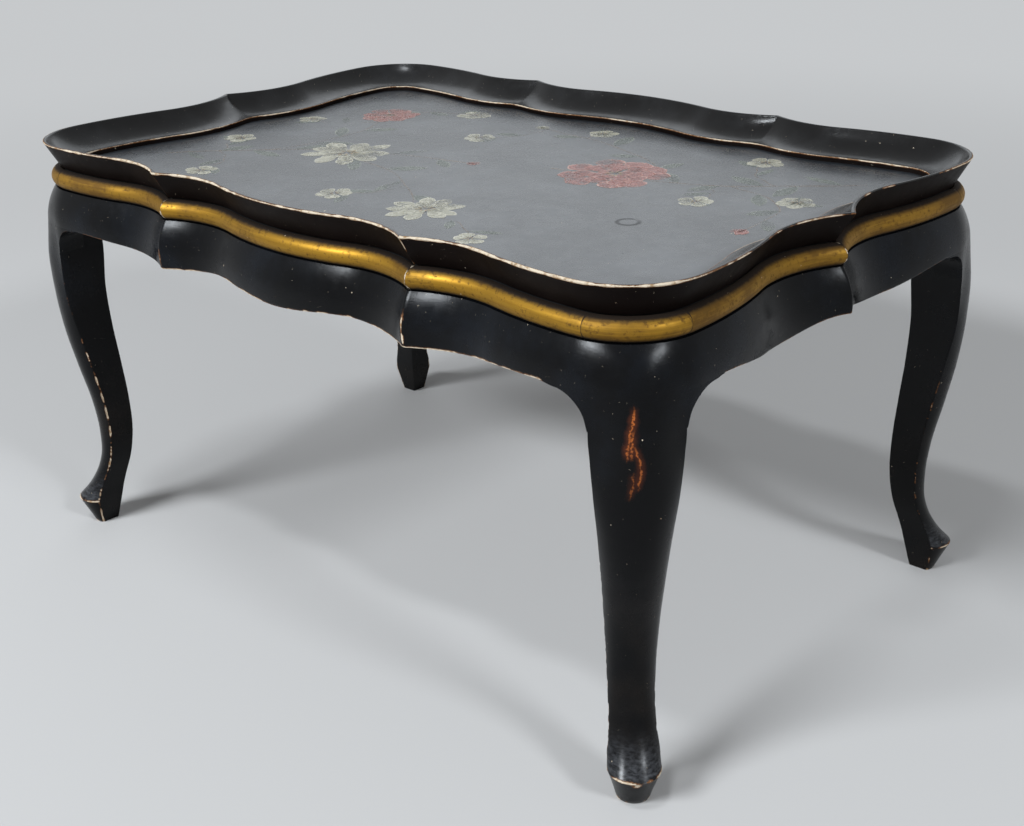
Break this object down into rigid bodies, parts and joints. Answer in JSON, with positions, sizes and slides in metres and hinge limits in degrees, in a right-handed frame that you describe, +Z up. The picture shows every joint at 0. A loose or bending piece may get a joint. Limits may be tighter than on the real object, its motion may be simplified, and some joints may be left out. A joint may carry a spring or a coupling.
{
  "type": "tray top tea table",
  "caption": "Low tea table with a loose scalloped tray top, flared coved gallery, gilt half-round bead, bellied aprons and cabriole legs in worn black lacquer.",
  "frame": {"origin": "on the floor, under the middle of the table", "axes": "+X along the length towards the right-hand end, -Y towards the front, +Z up"},
  "size_m": [0.9, 0.5994, 0.48],
  "materials": {
    "stand_lacquer": "worn gloss lacquer",
    "tray_lacquer": "worn satin lacquer",
    "field_lacquer": "worn gloss lacquer with faded painted flowers",
    "gilt": "aged gilding",
    "bare_wood": "bare, aged",
    "screw_steel": "dull"
  },
  "bodies": {
    "stand": {"apron_back": "stand_lacquer", "apron_front": "stand_lacquer", "apron_left": "stand_lacquer", "apron_right": "stand_lacquer", "bead_back_left": "gilt", "bead_back_middle": "gilt", "bead_back_right": "gilt", "bead_corner_back_left": "gilt", "bead_corner_back_right": "gilt", "bead_corner_front_left": "gilt", "bead_corner_front_right": "gilt", "bead_front_left": "gilt", "bead_front_middle": "gilt", "bead_front_right": "gilt", "bead_left_back": "gilt", "bead_left_front": "gilt", "bead_right_back": "gilt", "bead_right_front": "gilt", "bearer_left": "bare_wood", "bearer_right": "bare_wood", "bearer_screws": "screw_steel", "block_screws": "screw_steel", "corner_block_back_left": "bare_wood", "corner_block_back_right": "bare_wood", "corner_block_front_left": "bare_wood", "corner_block_front_right": "bare_wood", "ear_long_back_left": "stand_lacquer", "ear_long_back_right": "stand_lacquer", "ear_long_front_left": "stand_lacquer", "ear_long_front_right": "stand_lacquer", "ear_short_back_left": "stand_lacquer", "ear_short_back_right": "stand_lacquer", "ear_short_front_left": "stand_lacquer", "ear_short_front_right": "stand_lacquer", "leg_back_left": "stand_lacquer", "leg_back_right": "stand_lacquer", "leg_front_left": "stand_lacquer", "leg_front_right": "stand_lacquer"},
    "tray": {"gallery_back": "tray_lacquer", "gallery_back_left": "tray_lacquer", "gallery_back_right": "tray_lacquer", "gallery_front": "tray_lacquer", "gallery_front_left": "tray_lacquer", "gallery_front_right": "tray_lacquer", "tray_board": "field_lacquer"}
  },
  "joints": [
    {"name": "tray_lift", "type": "slide", "parent": "stand", "child": "tray", "axis": [0, 0, 1], "range_m": [0, 0.12]}
  ]
}
